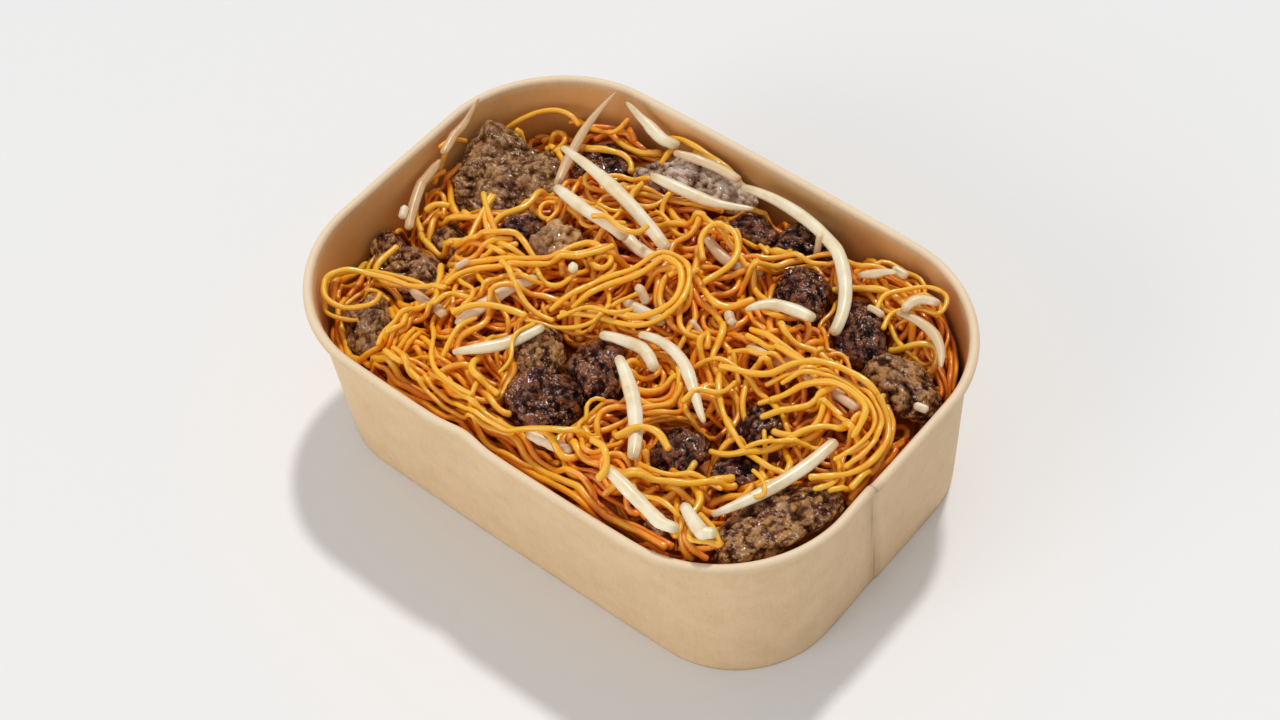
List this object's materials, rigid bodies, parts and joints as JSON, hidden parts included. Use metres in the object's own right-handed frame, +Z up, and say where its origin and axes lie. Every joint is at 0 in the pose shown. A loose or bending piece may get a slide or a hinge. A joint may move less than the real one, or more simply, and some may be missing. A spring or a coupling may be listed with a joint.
{
  "type": "noodle takeaway box",
  "caption": "Open rounded rectangular kraft paper takeaway bowl with a rolled rim, filled with fried noodles, pieces of beef and bean sprouts.",
  "frame": {"origin": "middle of the bowl's foot, on the surface that it stands on", "axes": "+X along the bowl's long side, +Y towards the long side that is far in the picture, +Z up"},
  "size_m": [0.172, 0.122, 0.0606],
  "materials": {
    "kraft_paper": "uncoated mottled kraft paper, wall and rolled rim",
    "kraft_board": "kraft board let in above the foot",
    "fried_noodle": "glossy golden fried wheat noodles with a dark sauce",
    "fried_beef": "dark brown wet fibrous beef",
    "bean_sprout": "translucent cream sprouts"
  },
  "bodies": {
    "root": {"beef_back_left": "fried_beef", "beef_back_middle": "fried_beef", "beef_back_right": "fried_beef", "beef_ball": "fried_beef", "beef_curl": "fried_beef", "beef_dark_left": "fried_beef", "beef_dark_right": "fried_beef", "beef_fold": "fried_beef", "beef_inner": "fried_beef", "beef_left_back": "fried_beef", "beef_left_front": "fried_beef", "beef_left_middle": "fried_beef", "beef_long": "fried_beef", "beef_low": "fried_beef", "beef_middle": "fried_beef", "beef_near_left": "fried_beef", "beef_near_rim": "fried_beef", "beef_right_end": "fried_beef", "beef_right_inner": "fried_beef", "beef_right_middle": "fried_beef", "beef_slab": "fried_beef", "beef_strip": "fried_beef", "bowl_base": "kraft_board", "bowl_wall": "kraft_paper", "noodle_heap": "fried_noodle", "sprout_arc": "bean_sprout", "sprout_back_long": "bean_sprout", "sprout_back_short": "bean_sprout", "sprout_back_stub": "bean_sprout", "sprout_bent": "bean_sprout", "sprout_centre_stub": "bean_sprout", "sprout_cross": "bean_sprout", "sprout_far_stub": "bean_sprout", "sprout_far_tip": "bean_sprout", "sprout_hook": "bean_sprout", "sprout_left": "bean_sprout", "sprout_left_front": "bean_sprout", "sprout_left_tip": "bean_sprout", "sprout_left_wall": "bean_sprout", "sprout_middle": "bean_sprout", "sprout_near_corner": "bean_sprout", "sprout_near_edge": "bean_sprout", "sprout_near_left": "bean_sprout", "sprout_near_right": "bean_sprout", "sprout_near_stub": "bean_sprout", "sprout_over_beef": "bean_sprout", "sprout_right_loop": "bean_sprout", "sprout_right_wall": "bean_sprout", "sprout_under": "bean_sprout", "sprout_upright": "bean_sprout", "sprout_wall_arc": "bean_sprout", "sprout_wall_left": "bean_sprout"}
  },
  "joints": []
}
